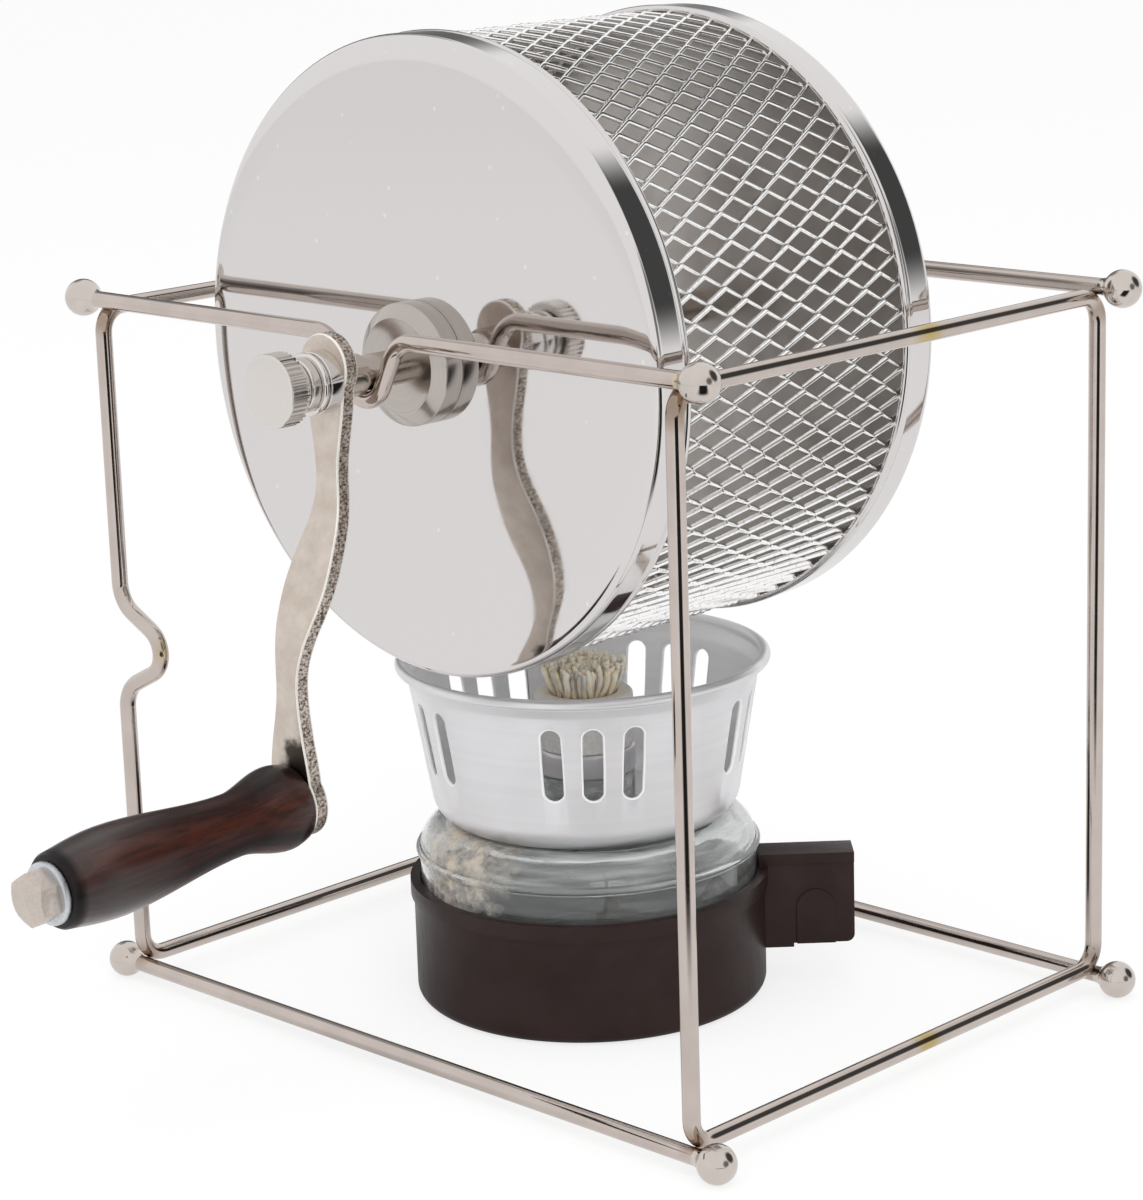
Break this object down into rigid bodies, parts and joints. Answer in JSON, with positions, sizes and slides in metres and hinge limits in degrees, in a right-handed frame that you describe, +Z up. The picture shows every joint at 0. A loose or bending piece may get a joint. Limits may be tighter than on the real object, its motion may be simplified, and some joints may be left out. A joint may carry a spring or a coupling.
{
  "type": "hand-crank coffee roaster",
  "caption": "Wire stand that carries a cylindrical expanded-metal roasting drum on a shaft with a hand crank, over a spirit lamp with a slotted windshield bowl.",
  "frame": {"origin": "on the ground, in the middle between the four ball feet of the wire stand", "axes": "+X along the rails to the plain side hoop, +Y along the drum shaft away from the crank, +Z up"},
  "size_m": [0.209, 0.2513, 0.2378],
  "materials": {
    "nickel_wire": "bright nickel plating on drawn steel wire",
    "nickel_balls": "bright nickel plating on steel balls",
    "shaft_steel": "ground steel bar",
    "polished_cap": "mirror-polished stainless sheet",
    "expanded_metal": "stainless expanded metal, bright strands",
    "turned_steel": "turned steel, polished",
    "stamped_nickel": "stamped steel plate, warm nickel plating, rough edge",
    "chrome_hub": "chromed bush",
    "stained_wood": "turned hardwood, dark red-brown glossy stain",
    "zinc_bolt": "zinc-plated steel",
    "brown_plastic": "dark brown moulded phenolic plastic",
    "clear_glass": "clear pressed glass",
    "spun_aluminium": "spun aluminium, satin",
    "white_ceramic": "unglazed white ceramic",
    "cotton_wick": "bundle of cotton strands"
  },
  "bodies": {
    "stand": {"left_side_hoop": "nickel_wire", "right_side_hoop": "nickel_wire", "top_front_rail": "nickel_wire", "top_back_rail": "nickel_wire", "bottom_front_rail": "nickel_wire", "bottom_back_rail": "nickel_wire", "top_balls": "nickel_balls", "foot_balls": "nickel_balls"},
    "drum": {"drum_shaft": "shaft_steel", "front_end_cap": "polished_cap", "back_end_cap": "polished_cap", "drum_mesh": "expanded_metal", "front_collar": "turned_steel", "back_collar": "turned_steel", "crank_arm": "stamped_nickel", "crank_hub": "chrome_hub", "grip_bolt": "zinc_bolt", "grip_washer": "zinc_bolt"},
    "grip": {"wooden_grip": "stained_wood"},
    "thumb": {"thumb_screw": "turned_steel"},
    "lamp": {"lamp_base": "brown_plastic", "glass_reservoir": "clear_glass", "burner_collar": "spun_aluminium", "wick_holder": "white_ceramic", "wick": "cotton_wick", "windshield_bowl": "spun_aluminium"}
  },
  "joints": [
    {"name": "drum_spin", "type": "hinge", "parent": "stand", "child": "drum", "pos_m": [0, 0, 0.16485], "axis": [0, 1, 0], "continuous": true},
    {"name": "grip_spin", "type": "hinge", "parent": "drum", "child": "grip", "pos_m": [-0.00328, -0.09761, 0.07082], "axis": [0.0017, 0.9988, 0.0488], "continuous": true},
    {"name": "thumb_screw_turn", "type": "hinge", "parent": "drum", "child": "thumb", "pos_m": [0, -0.095, 0.16485], "axis": [0, -1, 0], "range_deg": [0, 5040]},
    {"name": "lamp_slide", "type": "slide", "parent": "stand", "child": "lamp", "axis": [1, 0, 0], "range_m": [-0.041, 0.051]}
  ]
}
